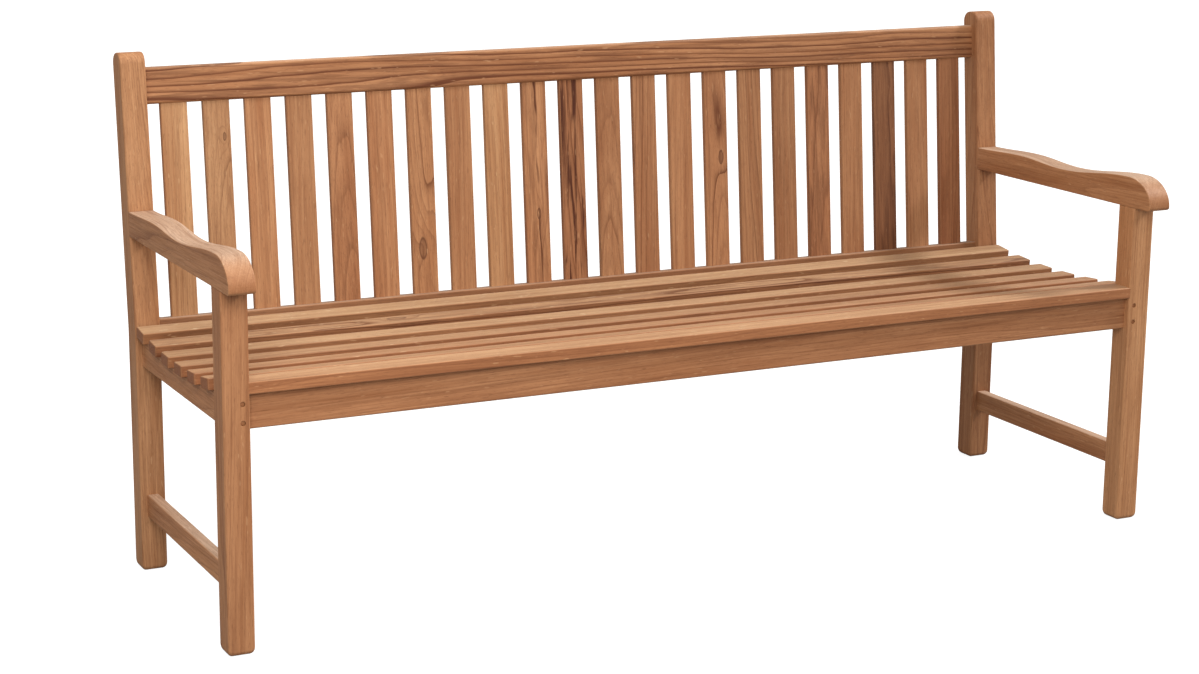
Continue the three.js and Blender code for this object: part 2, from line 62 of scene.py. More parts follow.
def cornered(corners, radii, eases, steps=7):
    """An outline that can be drawn at any depth below a board's face. Each side is moved inwards by
    the rounding of its own ease at that depth, the moved sides are crossed to find the corners, and
    each corner is an arc of its radius, which the inset makes smaller, or larger where it is hollow."""
    corners = np.asarray(corners, float)
    radii = np.asarray(radii, float)
    eases = np.asarray(eases, float)
    turn = np.linspace(0.0, 1.0, steps + 1)

    def outline(depth, further=0.0):
        after = np.roll(corners, -1, axis=0)
        along = after - corners
        along /= np.linalg.norm(along, axis=1, keepdims=True)
        inwards = np.stack([-along[:, 1], along[:, 0]], axis=1)
        inset = rounding(depth, eases) + further
        offset = np.sum(corners * inwards, axis=1) + inset
        back, normal_back, offset_back = (np.roll(a, 1, axis=0) for a in (along, inwards, offset))
        cross = normal_back[:, 0] * inwards[:, 1] - normal_back[:, 1] * inwards[:, 0]
        x = (offset_back * inwards[:, 1] - offset * normal_back[:, 1]) / cross
        y = (normal_back[:, 0] * offset - inwards[:, 0] * offset_back) / cross
        moved = np.stack([x, y], axis=1)
        hollow = np.sign(back[:, 0] * along[:, 1] - back[:, 1] * along[:, 0])
        shrink = hollow * np.minimum(inset, np.roll(inset, 1))
        radius = np.maximum(radii - shrink, 0.0002)
        bend = np.arccos(np.clip(np.sum(back * along, axis=1), -1, 1))
        reach = (radius * np.tan(bend / 2))[:, None, None]
        toward = moved[:, None, :] - (reach + SUPPORT) * back[:, None, :]
        away = moved[:, None, :] + (reach + SUPPORT) * along[:, None, :]
        centre = moved[:, None, :] - reach * back[:, None, :]
        centre = centre + (hollow * radius)[:, None, None] * normal_back[:, None, :]
        angle = (hollow * bend)[:, None] * turn[None, :]
        out = -(hollow * radius)[:, None, None] * normal_back[:, None, :]
        arc_x = out[..., 0] * np.cos(angle) - out[..., 1] * np.sin(angle)
        arc_y = out[..., 0] * np.sin(angle) + out[..., 1] * np.cos(angle)
        arc = centre + np.stack([arc_x, arc_y], axis=2)
        return np.concatenate([toward, arc, away], axis=1).reshape(-1, 2)

    return outline


def layers(outline, low, high, ease, steps=7):
    """A board as a stack of outlines: (distance across the board, outline there). The outlines crowd
    together over the eased edge below each face, and a last one just inside it keeps the face flat."""
    angle = np.linspace(0.0, math.pi / 2, steps + 1)
    depths = [*(ease * (1 - np.cos(angle))), ease + SUPPORT]
    face = [(0.0, outline(0.0, SUPPORT))]
    first = face + [(depth, outline(depth)) for depth in depths]
    near = [(low + depth, points) for depth, points in first]
    far = [(high - depth, points) for depth, points in reversed(first)]
    return near + far


def standing_along_x(stack):
    """Outlines drawn as (y, z), stacked along x."""
    return np.array([np.column_stack([np.full(len(p), across), p]) for across, p in stack])


def wood_mesh(name, grid):
    """A closed surface from a grid of points, one row for each outline: neighbouring rows are joined
    with quads and the first and last rows are filled. If the volume under the quads is negative the
    grid ran the wrong way round, and its rows are turned over."""
    rows, count = grid.shape[:2]
    middle = grid.reshape(-1, 3).mean(axis=0)
    a, b, d = grid[:-1], np.roll(grid, -1, axis=1)[:-1], grid[1:]
    if np.sum(np.cross(b - a, d - a) * (a - middle)) < 0:
        grid = grid[::-1]
    index = np.arange(rows * count).reshape(rows, count)
    onward = np.roll(index, -1, axis=1)
    quads = np.stack([index[:-1], onward[:-1], onward[1:], index[1:]], axis=-1).reshape(-1, 4)
    mesh = bpy.data.meshes.new(name)
    faces = quads.tolist() + [index[0][::-1].tolist(), index[-1].tolist()]
    mesh.from_pydata(grid.reshape(-1, 3).tolist(), [], faces)
    mesh.polygons.foreach_set("use_smooth", np.ones(len(faces), bool))
    mesh.update()
    return mesh


def put(mesh, name, values):
    """Keeps one vector for each point of the mesh, for the material to read."""
    attribute = mesh.attributes.new(name, "FLOAT_VECTOR", "POINT")
    attribute.data.foreach_set("vector", np.ascontiguousarray(values, dtype=np.float32).ravel())


PEG_HOLE_RADIUS = 0.0043
PEG_HOLE_DEPTH = 0.003
SHARP = math.radians(35)                       # edges that turn by more than this are kept sharp
ROUND_TURNS = np.linspace(0, 2 * math.pi, 33)[:-1]
ACROSS = np.array([1.0, 0.0, 0.0])             # along the bench, and across every peg


def circle(radius, outwards):
    """A circle of a radius, square to a direction: the cosine of the turn goes across, and its sine
    goes square to both."""
    cosine, sine = np.cos(ROUND_TURNS)[:, None], np.sin(ROUND_TURNS)[:, None]
    return radius * (cosine * ACROSS + sine * np.cross(ACROSS, outwards))


def drilled(mesh, places, outwards):
    """Bores the holes for pegs into a mesh, each at a place on its surface, square to that surface."""
    out = np.array(outwards, float)
    ring = circle(PEG_HOLE_RADIUS, out)
    bare = bpy.data.objects.new("bare", mesh)
    bpy.context.scene.collection.objects.link(bare)
    bits = []
    for place in places:
        rings = [ring + place + out * reach for reach in (-PEG_HOLE_DEPTH, PEG_HOLE_DEPTH)]
        bits.append(bpy.data.objects.new("drill", wood_mesh("drill", np.array(rings))))
        bpy.context.scene.collection.objects.link(bits[-1])
        bore = bare.modifiers.new("bore", "BOOLEAN")
        bore.operation = "DIFFERENCE"
        bore.object = bits[-1]
        bore.solver = "EXACT"
    seen = bare.evaluated_get(bpy.context.evaluated_depsgraph_get())
    bored = bpy.data.meshes.new_from_object(seen)
    bored.name = mesh.name
    bored.set_sharp_from_angle(angle=SHARP)
    for gone in (bare, *bits):
        bpy.data.objects.remove(gone)
    return bored


def board(node, slot, grid, grain, tone=0.0, red=0.0, heart=0.0, rings=0.5, gap=0.0045, vein=0.0,
          face=None, pith=0.09, sawn=None, arch=None, knot=None, holes=None):
    """One board of the bench, which takes the place of its node. Every point remembers where it lay
    in the tree: (across, across, along), with the pith at the origin. The board lay `pith` from the
    heart, turned by `sawn` (0: rings flat to its face, a quarter turn: rings square to it), and a
    degree or so off the tree's own direction, or by the slope `arch`, which is what draws the arches
    on a board's face. tone, red and heart say how light, how red and how streaked with dark heartwood it
    is, rings how plain its growth rings are, and gap how far apart they lie. A knot is (along the
    board from its middle, across it, size), and a vein is a dark line through the knot's place. holes
    gives the places of peg holes and the direction they open in."""
    mesh = wood_mesh(node, grid)
    along = np.array(grain, float) / np.linalg.norm(grain)
    outwards = np.array(face if face is not None else (0.0, -1.0, 0.0), float)
    outwards = outwards - along * (outwards @ along)
    outwards /= np.linalg.norm(outwards)
    aside = np.cross(along, outwards)
    normals = np.array([v.vector for v in mesh.vertex_normals])
    square = np.abs(np.stack([normals @ outwards, normals @ aside, normals @ along], axis=1))
    # where the surface turns from one face to the next (a painted highlight goes there), where it looks
    # along the grain (end grain), and where it looks up (a painted sheen goes there)
    rounded_edge = np.clip((1 - square.max(axis=1)) / 0.25, 0, 1)
    end = np.clip(square[:, 2] * 1.6 - 0.6, 0, 1)
    painted_sheen = np.clip(normals[:, 2], 0, 1)**4
    put(mesh, "edge", np.stack([rounded_edge, end, painted_sheen], axis=1))
    if holes is not None:
        mesh = drilled(mesh, *holes)
    draw = np.random.default_rng(sum(ord(letter) * (place + 1) for place, letter in enumerate(node)))
    points = np.empty(len(mesh.vertices) * 3, np.float32)
    mesh.vertices.foreach_get("co", points)
    points = points.reshape(-1, 3).astype(float)
    centre = (points.min(axis=0) + points.max(axis=0)) / 2
    local = points - centre
    u, v, w = local @ outwards, local @ aside, local @ along
    lay = draw.uniform(-0.6, 0.6) if sawn is None else sawn
    lean_u, lean_v = draw.uniform(0.008, 0.02, 2) * draw.choice((-1, 1), 2)
    lean_u = lean_u if arch is None else arch
    far = pith + draw.uniform(-0.015, 0.015)
    log_x = far + (u + lean_u * w) * math.cos(lay) - (v + lean_v * w) * math.sin(lay)
    log_y = (u + lean_u * w) * math.sin(lay) + (v + lean_v * w) * math.cos(lay)
    put(mesh, "log", np.stack([log_x, log_y, w + draw.uniform(0, 40)], axis=1))
    up, across, size = (0.0, 0.0, 1.0) if knot is None else knot
    knotty = np.full(len(w), 0.0 if knot is None else 1.0)
    put(mesh, "knot", np.stack([(w - up) / size, (v - across) / size, knotty], axis=1))
    put(mesh, "board", np.tile([tone, red, heart], (len(points), 1)))
    put(mesh, "figure", np.tile([rings, vein, gap], (len(points), 1)))
    piece = bpy.data.objects.new(node + "_wood", mesh)
    bpy.context.scene.collection.objects.link(piece)
    mesh.materials.clear()
    mesh.materials.append(TEAK[slot])
    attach(piece, "root")
    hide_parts(node)
    return piece


def wire(tree, kind, place, links=(), **settings):
    """Adds one node at a place in the tree. links are (input, value or socket) pairs."""
    added = tree.nodes.new(kind)
    added.location = (place[0] * 200, place[1] * 180)
    for setting, value in settings.items():
        setattr(added, setting, value)
    for socket, value in links:
        if isinstance(value, bpy.types.NodeSocket):
            tree.links.new(value, added.inputs[socket])
        else:
            added.inputs[socket].default_value = value
    return added


def teak_figure():
    """The figure of teak, worked out in the tree's own coordinates. Growth rings are circles about
    the pith, pushed about by slow noise along the trunk and bowed out round a knot. Each starts with a
    thin dark line of open pores that fades outwards, strong in some years and faint in others. Fibres,
    streaks and pores are noise drawn out along the trunk, cloud is slow noise mixed with the years'
    own shade, heartwood is drawn-out noise above a threshold, and a vein wanders along the board."""
    group = bpy.data.node_groups.new("teak figure", "ShaderNodeTree")
    face = group.interface
    for name, kind in (("Log", "Vector"), ("Knot", "Vector"), ("Ring Gap", "Float")):
        face.new_socket(name, in_out="INPUT", socket_type="NodeSocket" + kind)
    for name in ("Rings", "Fibre", "Streak", "Pores", "Fleck", "Cloud", "Heart", "Knot", "Vein"):
        face.new_socket(name, in_out="OUTPUT", socket_type="NodeSocketFloat")
    given = wire(group, "NodeGroupInput", (0, 0)).outputs
    result = wire(group, "NodeGroupOutput", (15, 0)).inputs

    def number(place, operation, a, b=0.0, c=0.0, clamp=False):
        return wire(group, "ShaderNodeMath", place, ((0, a), (1, b), (2, c)),
                    operation=operation, use_clamp=clamp).outputs[0]

    def vector(place, operation, a, b=(0, 0, 0), c=(0, 0, 0)):
        return wire(group, "ShaderNodeVectorMath", place, ((0, a), (1, b), (2, c)),
                    operation=operation).outputs[0]

    def drawn_noise(place, across, along, detail, rough=0.5, warp=0.0):
        stretched = vector(place, "MULTIPLY", given["Log"], (across, across, along))
        return wire(group, "ShaderNodeTexNoise", (place[0] + 1, place[1]), (
            ("Vector", stretched), ("Scale", 1.0), ("Detail", detail), ("Roughness", rough),
            ("Distortion", warp),
        ))

    def smooth(place, value, low, high):
        return wire(group, "ShaderNodeMapRange", place, (
            ("Value", value), ("From Min", low), ("From Max", high),
        ), interpolation_type="SMOOTHSTEP").outputs[0]

    # the knot: how near it is, in an oval three times as long as it is wide, with a darker rim
    from_knot = wire(group, "ShaderNodeSeparateXYZ", (1, 6), ((0, given["Knot"]),)).outputs
    wobble = number((3, 7), "SUBTRACT", drawn_noise((1, 7), 30.0, 9.0, 2.0).outputs[0], 0.5)
    oval = vector((2, 4), "MULTIPLY", given["Knot"], (24.0, 62.0, 0.0))
    far_off = wire(group, "ShaderNodeVectorMath", (3, 4), ((0, oval),), operation="LENGTH").outputs["Value"]
    square = number((4, 4), "MULTIPLY", far_off, far_off)
    near = number((5, 4), "DIVIDE", from_knot[2], number((4, 5), "ADD", square, 1.0))
    ragged = number((5, 5), "MULTIPLY_ADD", wobble, 0.2, near)
    body = smooth((6, 5), ragged, 0.80, 0.86)
    inside = smooth((6, 6), ragged, 0.86, 0.93)
    knot = number((7, 5), "MULTIPLY", body, number((7, 6), "MULTIPLY_ADD", inside, -0.5, 1.0))

    # the vein: a narrow band about a wandering line through the knot's place, faint here and there
    aside = number((4, 7), "MULTIPLY_ADD", wobble, 0.04, from_knot[1])
    vein = smooth((6, 7), number((5, 7), "ABSOLUTE", aside), 0.0045, 0.0008)
    faint = smooth((6, 8), drawn_noise((3, 8), 12.0, 11.0, 2.0).outputs[0], 0.35, 0.6)
    vein = number((7, 7), "MULTIPLY", vein, faint)

    # the rings
    slow = vector((3, 2), "SUBTRACT", drawn_noise((1, 2), 8.0, 1.1, 1.0).outputs["Color"], (0.5, 0.5, 0.5))
    quick = vector((3, 3), "SUBTRACT", drawn_noise((1, 3), 40.0, 5.0, 2.0).outputs["Color"], (0.5, 0.5, 0.5))
    pushed = vector((4, 2), "MULTIPLY_ADD", slow, (0.055, 0.055, 0.0), given["Log"])
    pushed = vector((5, 2), "MULTIPLY_ADD", quick, (0.007, 0.007, 0.0), pushed)
    flat = vector((6, 2), "MULTIPLY", pushed, (1.0, 1.0, 0.0))
    radius = wire(group, "ShaderNodeVectorMath", (7, 2), ((0, flat),), operation="LENGTH").outputs["Value"]
    bowed = number((8, 2), "MULTIPLY_ADD", near, 0.012, radius)
    year = number((9, 2), "DIVIDE", bowed, given["Ring Gap"])
    within = number((10, 2), "FRACT", year)
    year_of = number((10, 3), "FLOOR", year)
    fade = number((11, 1), "POWER", number((10, 1), "SUBTRACT", 1.0, within), 4.0)
    line = number((12, 2), "MULTIPLY", fade, smooth((11, 2), within, 0.0, 0.09))
    chance = wire(group, "ShaderNodeTexWhiteNoise", (11, 3), (("W", year_of),),
                  noise_dimensions="1D").outputs[0]
    strength = number((12, 3), "MULTIPLY_ADD", number((11, 4), "POWER", chance, 2.5), 1.1, 0.3)
    rings = number((13, 2), "MULTIPLY", line, strength)

    # the years' own shade, fibres, streaks, pores, flecks, cloud and heartwood
    shade = wire(group, "ShaderNodeTexNoise", (9, 5), (
        ("W", bowed), ("Scale", 85.0), ("Detail", 2.0), ("Roughness", 0.6),
    ), noise_dimensions="1D").outputs[0]
    fibre = drawn_noise((1, 0), 430.0, 8.0, 3.0, 0.65).outputs[0]
    streak = drawn_noise((1, 1), 150.0, 1.9, 3.0, 0.6).outputs[0]
    pores = smooth((3, -1), drawn_noise((1, -1), 1500.0, 60.0, 1.0).outputs[0], 0.62, 0.72)
    fleck = smooth((3, -2), drawn_noise((1, -2), 260.0, 45.0, 1.0).outputs[0], 0.69, 0.76)
    cloud = drawn_noise((1, -3), 20.0, 2.4, 3.0, 0.55, 0.3).outputs[0]
    cloud = number((4, -3), "MULTIPLY_ADD", cloud, 0.65, number((3, -3), "MULTIPLY", shade, 0.35))
    heart = smooth((3, -4), drawn_noise((1, -4), 95.0, 4.5, 4.0, 0.6, 0.9).outputs[0], 0.45, 0.62)
    for name, value in (("Rings", rings), ("Fibre", fibre), ("Streak", streak), ("Pores", pores),
                        ("Fleck", fleck), ("Cloud", cloud), ("Heart", heart), ("Knot", knot),
                        ("Vein", vein)):
        group.links.new(value, result[name])
    return group


TEAK_FIGURE = teak_figure()
RING_BROWN = (0.13, 0.038, 0.012, 1)
HEART_BROWN = (0.085, 0.022, 0.007, 1)
KNOT_BROWN = (0.09, 0.028, 0.011, 1)
# the pale tan of the rays' flecks, and of the painted highlight along eased edges
RAY_AND_HIGHLIGHT_TAN = (0.50, 0.27, 0.13, 1)
END_BROWN = (0.24, 0.085, 0.03, 1)
YELLOWER = (1.0, 1.16, 1.22, 1)                # what a board of redness -1 is multiplied by
REDDER = (1.0, 0.84, 0.78, 1)                  # and one of redness 1


def teak_finish():
    """The colour, roughness and relief of planed teak, put together from its figure. The colour runs
    from pale to deep with the slow cloud, rings, streaks and fibres darken it, heartwood, veins and
    knots stain it, and the board's own tone and redness shift the whole. Faces that look up get a
    painted sheen, eased edges a pale painted highlight and a little less roughness, end grain is
    darker, and rays show as small pale flecks. Fibres stand up in relief, and pores and rings lie
    below them."""
    group = bpy.data.node_groups.new("teak finish", "ShaderNodeTree")
    face = group.interface
    for name in ("Log", "Knot", "Board", "Figure", "Edge"):
        face.new_socket(name, in_out="INPUT", socket_type="NodeSocketVector")
    for name in ("Pale", "Deep", "Painted Sheen"):
        face.new_socket(name, in_out="INPUT", socket_type="NodeSocketColor")
    face.new_socket("Colour", in_out="OUTPUT", socket_type="NodeSocketColor")
    for name in ("Roughness", "Relief"):
        face.new_socket(name, in_out="OUTPUT", socket_type="NodeSocketFloat")
    given = wire(group, "NodeGroupInput", (0, 0)).outputs
    result = wire(group, "NodeGroupOutput", (19, 0)).inputs

    def apart(place, vector):
        return wire(group, "ShaderNodeSeparateXYZ", place, ((0, vector),)).outputs

    def between(place, factor, low, high, blend="MIX"):
        mixed = wire(group, "ShaderNodeMix", place, data_type="RGBA", blend_type=blend)
        for socket, value in ((mixed.inputs[0], factor), (mixed.inputs[6], low), (mixed.inputs[7], high)):
            if isinstance(value, bpy.types.NodeSocket):
                group.links.new(value, socket)
            else:
                socket.default_value = value
        return mixed.outputs[2]

    def reach(place, value, low, high, to_low, to_high):
        return wire(group, "ShaderNodeMapRange", place, (
            ("Value", value), ("From Min", low), ("From Max", high), ("To Min", to_low), ("To Max", to_high),
        )).outputs[0]

    def times(place, a, b, c=0.0, operation="MULTIPLY", clamp=False):
        return wire(group, "ShaderNodeMath", place, ((0, a), (1, b), (2, c)),
                    operation=operation, use_clamp=clamp).outputs[0]

    tone, red, heart = apart((1, -2), given["Board"])
    rounded_edge, end, painted_sheen = apart((1, -3), given["Edge"])
    plain, vein, gap = apart((1, -4), given["Figure"])
    drawn = wire(group, "ShaderNodeGroup", (2, 0), (
        ("Log", given["Log"]), ("Knot", given["Knot"]), ("Ring Gap", gap),
    ), node_tree=TEAK_FIGURE).outputs

    colour = between((4, 0), reach((3, 0), drawn["Cloud"], 0.3, 0.7, 0.0, 1.0), given["Pale"], given["Deep"])
    colour = between((5, 0), reach((4, 1), drawn["Streak"], 0.5, 0.85, 0.0, 0.5), colour, RING_BROWN)
    colour = between((6, 0), times((5, 1), drawn["Rings"], plain, clamp=True), colour, RING_BROWN)
    colour = between((7, 0), reach((6, 1), drawn["Fibre"], 0.45, 0.8, 0.0, 0.5), colour, RING_BROWN)
    colour = between((8, 0), times((7, 1), drawn["Heart"], heart, clamp=True), colour, HEART_BROWN)
    colour = between((9, 0), times((8, 1), drawn["Vein"], vein, clamp=True), colour, HEART_BROWN)
    colour = between((10, 0), times((9, 1), drawn["Knot"], 0.8), colour, KNOT_BROWN)
    colour = between((11, 0), times((10, 1), drawn["Pores"], 0.5), colour, KNOT_BROWN)
    colour = between((12, 0), times((11, 1), drawn["Fleck"], 0.45), colour, RAY_AND_HIGHLIGHT_TAN)
    redness = reach((7, -2), red, -1.0, 1.0, 0.0, 1.0)
    colour = between((13, 0), 1.0, colour, between((8, -2), redness, YELLOWER, REDDER), "MULTIPLY")
    light = reach((9, -2), tone, -1.0, 1.0, 0.4, 1.6)
    grey = wire(group, "ShaderNodeCombineColor", (10, -2), ((0, light), (1, light), (2, light))).outputs[0]
    colour = between((14, 0), 1.0, colour, grey, "MULTIPLY")
    # painted sheen: faces that look up are multiplied by the sheen colour, standing in for the light they
    # catch
    colour = between((15, 0), painted_sheen, colour, given["Painted Sheen"], "MULTIPLY")
    # painted highlight: eased edges are mixed a little towards pale tan
    colour = between((16, 0), times((15, 1), rounded_edge, 0.22), colour, RAY_AND_HIGHLIGHT_TAN)
    colour = between((17, 0), times((16, 1), end, 0.5), colour, END_BROWN)
    rough = reach((10, -4), drawn["Fibre"], 0.3, 0.7, 0.52, 0.68)
    rough = times((11, -4), rounded_edge, -0.08, rough, "MULTIPLY_ADD")
    relief = times((8, -6), drawn["Pores"], -0.6, times((7, -6), drawn["Fibre"], 0.9), "MULTIPLY_ADD")
    relief = times((9, -6), drawn["Rings"], -0.25, relief, "MULTIPLY_ADD")
    for name, value in (("Colour", colour), ("Roughness", rough), ("Relief", relief)):
        group.links.new(value, result[name])
    return group


TEAK_FINISH = teak_finish()


def teak(name, pale, deep, sheen_colour):
    """One teak finish in its own colours. What each board remembers of its tree goes into the shared
    group, and the group's colour, roughness and relief go to the shader."""
    material = bpy.data.materials.new(name)
    material.use_nodes = True
    tree = material.node_tree
    shader = tree.nodes["Principled BSDF"]
    shader.location = (1200, 0)
    finish = wire(tree, "ShaderNodeGroup", (2, 0), (
        ("Pale", (*pale, 1)), ("Deep", (*deep, 1)), ("Painted Sheen", (*sheen_colour, 1)),
    ), node_tree=TEAK_FINISH)
    for row, memory in enumerate(("Log", "Knot", "Board", "Figure", "Edge")):
        remembered = wire(tree, "ShaderNodeAttribute", (0, -row), attribute_name=memory.lower())
        tree.links.new(remembered.outputs["Vector"], finish.inputs[memory])
    bump = wire(tree, "ShaderNodeBump", (4, -2), (
        ("Strength", 0.35), ("Distance", 0.0004), ("Height", finish.outputs["Relief"]),
    ))
    tree.links.new(finish.outputs["Colour"], shader.inputs["Base Color"])
    tree.links.new(finish.outputs["Roughness"], shader.inputs["Roughness"])
    tree.links.new(bump.outputs[0], shader.inputs["Normal"])
    shader.inputs["IOR"].default_value = 1.42
    shader.inputs["Specular IOR Level"].default_value = 0.32
    return material


# each finish: its pale and deep colours, and the colour that faces looking up are multiplied by, a painted
# sheen
TEAK = {
    "teak_frame": teak("planed teak, frame", (0.48, 0.230, 0.104), (0.31, 0.122, 0.046), (1.2, 1.7, 2.6)),
    "teak_seat": teak("planed teak, seat", (0.37, 0.158, 0.065), (0.235, 0.086, 0.032), (1.34, 1.9, 2.5)),
    "teak_back": teak("planed teak, back", (0.50, 0.245, 0.112), (0.31, 0.118, 0.045), (1.2, 1.5, 1.75)),
    "teak_peg": teak("turned teak, pegs", (0.42, 0.19, 0.08), (0.28, 0.11, 0.04), (1.0, 1.0, 1.0)),
}

leg_low, leg_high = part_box("left_front_leg")
LEG = leg_high.y - leg_low.y
FRONT = leg_low.y                              # the front faces of the front legs
ARM_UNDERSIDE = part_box("left_armrest")[0].z
BENCH_END = -leg_low.x
LEG_INSIDE = BENCH_END - LEG
SIDES = (("left", -1), ("right", 1))


def pegs_on(hand, joint, middle, outwards):
    """Where the two pegs of a joint come out, on the face through `middle` that looks outwards."""
    out = np.array(outwards, float)
    places = []
    for row in ("upper", "lower"):
        low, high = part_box(f"{hand}_{joint}_peg_{row}")
        inside = np.array((low + high) / 2)
        places.append(inside + out * ((np.array(middle) - inside) @ out))
    return places


SAWN_CORNER = 0.0005                           # what is left of a corner that was only sawn
front_leg_outline = cornered(
    corners=[(FRONT, 0), (FRONT + LEG, 0), (FRONT + LEG, ARM_UNDERSIDE), (FRONT, ARM_UNDERSIDE)],
    radii=[FOOT_ROUND, FOOT_ROUND, SAWN_CORNER, SAWN_CORNER],
    eases=[FOOT_ROUND, LEG_EASE, 0, LEG_EASE],
)
front_leg_looks = {
    "left": {"tone": -0.03, "red": 0.05, "rings": 0.55, "sawn": 1.3},
    "right": {"tone": 0.36, "red": -0.4, "rings": 0.5, "sawn": 1.4},
}
for hand, side in SIDES:
    ends = sorted((side * LEG_INSIDE, side * BENCH_END))
    stack = layers(front_leg_outline, ends[0], ends[1], FOOT_ROUND)
    holes = pegs_on(hand, "apron", (0, FRONT, 0), (0, -1, 0))
    board(f"{hand}_front_leg", "teak_frame", standing_along_x(stack), grain=(0, 0, 1),
          holes=(holes, (0, -1, 0)), **front_leg_looks[hand])


# --- Rear legs -------------------------------------------------------------------------------
# Each is sawn from one wide plank: upright from the ground to the seat, then leaning back to a
# rounded top. Mortises in its front and inner faces take the rails and the armrest.

BEND_HEIGHT = 0.433
LEAN = math.atan(0.09)
TOP_ROUND = 0.019
BEND_ROUND = 0.08

rear_low, rear_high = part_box("left_rear_leg")
REAR_FRONT = rear_low.y                        # the front faces of the rear legs, below the bend
BENCH_TOP = rear_high.z
RISE = TOP_ROUND + (
    BENCH_TOP - TOP_ROUND - BEND_HEIGHT + TOP_ROUND * math.sin(LEAN)
) / math.cos(LEAN)                             # from the bend to the top, along the leaning leg


def leaned(points):
    """Points drawn against the leaning back, (x, behind the legs' front face, up along them), turned
    about the bend into the bench's own directions."""
    x, back, up = np.moveaxis(np.asarray(points, float), -1, 0)
    y = REAR_FRONT + back * math.cos(LEAN) + up * math.sin(LEAN)
    z = BEND_HEIGHT - back * math.sin(LEAN) + up * math.cos(LEAN)
    return np.stack([x, y, z], axis=-1)


top_front = leaned((0, 0, RISE))[1:]
top_rear = leaned((0, LEG, RISE))[1:]
rear_leg_outline = cornered(
    corners=[
        (REAR_FRONT, 0), (REAR_FRONT + LEG, 0),
        (REAR_FRONT + LEG, BEND_HEIGHT - LEG * math.tan(LEAN / 2)),
        top_rear, top_front, (REAR_FRONT, BEND_HEIGHT),
    ],
    radii=[FOOT_ROUND, FOOT_ROUND, BEND_ROUND, TOP_ROUND, TOP_ROUND, BEND_ROUND],
    eases=[FOOT_ROUND, LEG_EASE, LEG_EASE, LEG_EASE, LEG_EASE, LEG_EASE],
)
BEHIND = (0, math.cos(LEAN), -math.sin(LEAN))  # square to the leaning back, away from the sitter
REAR_LEG_GRAIN = (0, 0.04, 1)                  # between the plank's upright and leaning parts
# the left leg's lighter tone is partly painted light, lifting it where it stands in shade under the seat
rear_leg_looks = {
    "left": {"tone": 0.10, "red": -0.3, "rings": 0.5, "sawn": 1.2},
    "right": {"tone": -0.1, "red": 0.1, "rings": 0.6, "sawn": 0.9},
}
for hand, side in SIDES:
    ends = sorted((side * LEG_INSIDE, side * BENCH_END))
    stack = layers(rear_leg_outline, ends[0], ends[1], FOOT_ROUND)
    back_face = leaned((0, LEG, 0))
    holes = pegs_on(hand, "top_rail", back_face, BEHIND) + pegs_on(hand, "lower_rail", back_face, BEHIND)
    board(f"{hand}_rear_leg", "teak_frame", standing_along_x(stack), grain=REAR_LEG_GRAIN,
          holes=(holes, BEHIND), **rear_leg_looks[hand])


# --- Armrests --------------------------------------------------------------------------------
# Bandsawn from thick teak and sanded smooth: flat below, dipped on top for the forearm, and rolled
# over into a blunt nose in front. Each sits on its front leg and is tenoned into the rear one.

ARM_EASE = 0.0016
ARM_OVERHANG = 0.043
ARM_NOSE_DROP = 0.050
ARM_LIP = 0.008                                # the round under the nose
ARM_LEG_LEAN = 0.015                           # how far the rear leg's face has leaned back there
ARM_HIDDEN = 0.004                             # how far its rear end runs on into the rear leg
ARM_TOP = (                                    # height of the top at places from front to back
    (0.022, 0.654), (0.222, 0.6385), (REAR_FRONT - FRONT - 0.120, 0.6455),
    (REAR_FRONT - FRONT + 0.019, 0.641),
)


def swell(start, finish, steps, softness=0.38):
    """A rise or fall that is level at both ends: a cubic Bezier curve with level handles."""
    t = np.linspace(0, 1, steps)[:, None]
    (ya, za), (yb, zb) = start, finish
    handle = softness * (yb - ya)
    a, b, c, d = (np.array(p) for p in ((ya, za), (ya + handle, za), (yb - handle, zb), (yb, zb)))
    return a * (1 - t)**3 + 3 * b * t * (1 - t)**2 + 3 * c * t**2 * (1 - t) + d * t**3


def armrest_outline(depth, further=0.0):
    """The outline from the side: along the flat underside, up the rear end, forward over the swells
    of the top, and down the nose, a quarter of an ellipse. It is moved inwards, square to itself, by
    the rounding of the eased edge at that depth."""
    rear = REAR_FRONT - FRONT + ARM_LEG_LEAN + ARM_HIDDEN
    under = np.stack([np.linspace(-ARM_OVERHANG + ARM_LIP, rear, 60), np.full(60, ARM_UNDERSIDE)], axis=1)
    end = np.stack([np.full(12, rear), np.linspace(ARM_UNDERSIDE, ARM_TOP[3][1], 12)], axis=1)
    top = np.concatenate([swell(ARM_TOP[i], ARM_TOP[i - 1], 36)[:-1] for i in (3, 2, 1)])
    top[:, 0] = np.minimum(top[:, 0], rear)
    drop = np.linspace(math.pi / 2, 0.0, 40)
    crest_y, crest_z = ARM_TOP[0]
    nose = np.stack([
        crest_y - (crest_y + ARM_OVERHANG) * np.cos(drop),
        crest_z - ARM_NOSE_DROP + ARM_NOSE_DROP * np.sin(drop),
    ], axis=1)
    lip_turn = np.linspace(0, math.pi / 2, 10)[1:-1]
    lip_high = crest_z - ARM_NOSE_DROP - ARM_UNDERSIDE
    lip = np.stack([
        -ARM_OVERHANG + ARM_LIP * (1 - np.cos(lip_turn)),
        ARM_UNDERSIDE + lip_high * (1 - np.sin(lip_turn)),
    ], axis=1)
    points = np.concatenate([under[:-1], end[:-1], top, nose, lip])
    along = np.roll(points, -1, axis=0) - np.roll(points, 1, axis=0)
    along /= np.linalg.norm(along, axis=1, keepdims=True)
    inwards = np.stack([-along[:, 1], along[:, 0]], axis=1)
    points = points + inwards * (rounding(depth, ARM_EASE) + further)
    points[:, 0] += FRONT
    return points


